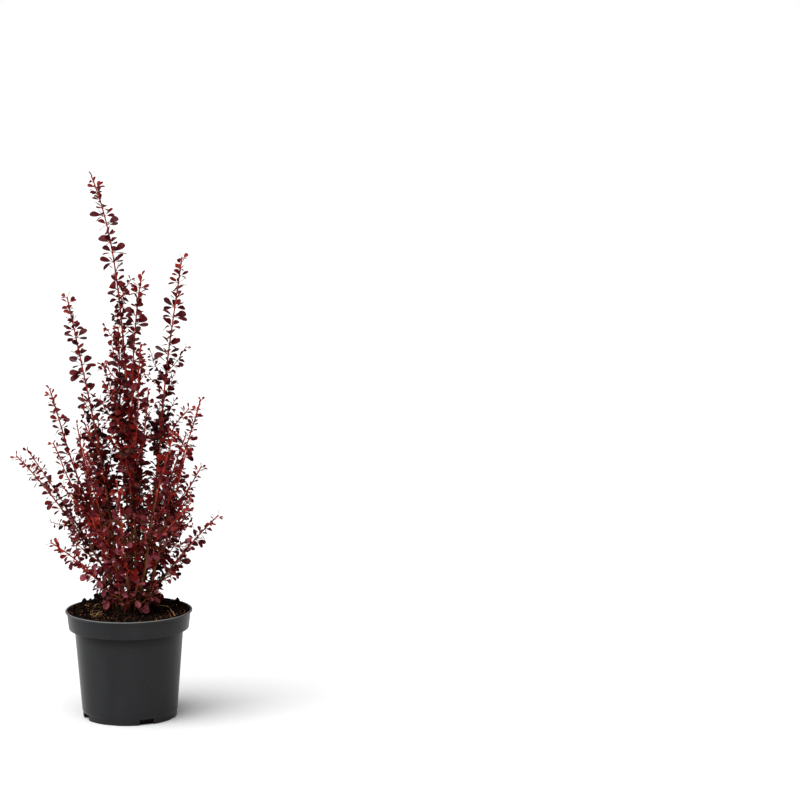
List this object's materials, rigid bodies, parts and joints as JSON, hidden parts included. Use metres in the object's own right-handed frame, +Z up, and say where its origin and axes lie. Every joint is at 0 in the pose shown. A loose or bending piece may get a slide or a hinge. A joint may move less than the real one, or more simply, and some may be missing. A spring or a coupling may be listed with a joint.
{
  "type": "potted japanese barberry shrub",
  "caption": "Young purple-leaved barberry shrub with upright thorny canes of small rounded leaves, growing in a round black plastic nursery pot filled with compost.",
  "frame": {"origin": "centre of the pot's flat underside", "axes": "+Z up along the pot's axis, -Y towards the side that the picture shows, +X to that side's right"},
  "size_m": [0.279, 0.2766, 0.735],
  "materials": {
    "pot_plastic": "satin black",
    "compost": "matt, crumbly",
    "bark": "matt",
    "foliage": "satin"
  },
  "bodies": {
    "root": {"pot": "pot_plastic", "soil": "compost", "woody_base": "bark", "cane_back": "bark", "cane_back_high": "bark", "cane_back_left": "bark", "cane_back_right": "bark", "cane_centre": "bark", "cane_front": "bark", "cane_front_left": "bark", "cane_front_right": "bark", "cane_left_high": "bark", "cane_left_low": "bark", "cane_left_mid": "bark", "cane_left_wide": "bark", "cane_right_back": "bark", "cane_right_high": "bark", "cane_right_low": "bark", "cane_right_mid": "bark", "cane_tall": "bark", "foliage_back": "foliage", "foliage_back_high": "foliage", "foliage_back_left": "foliage", "foliage_back_right": "foliage", "foliage_centre": "foliage", "foliage_foot_1": "foliage", "foliage_foot_2": "foliage", "foliage_foot_3": "foliage", "foliage_foot_4": "foliage", "foliage_foot_5": "foliage", "foliage_foot_6": "foliage", "foliage_foot_7": "foliage", "foliage_front": "foliage", "foliage_front_left": "foliage", "foliage_front_right": "foliage", "foliage_left_high": "foliage", "foliage_left_low": "foliage", "foliage_left_mid": "foliage", "foliage_left_wide": "foliage", "foliage_right_back": "foliage", "foliage_right_high": "foliage", "foliage_right_low": "foliage", "foliage_right_mid": "foliage", "foliage_tall": "foliage"}
  },
  "joints": []
}
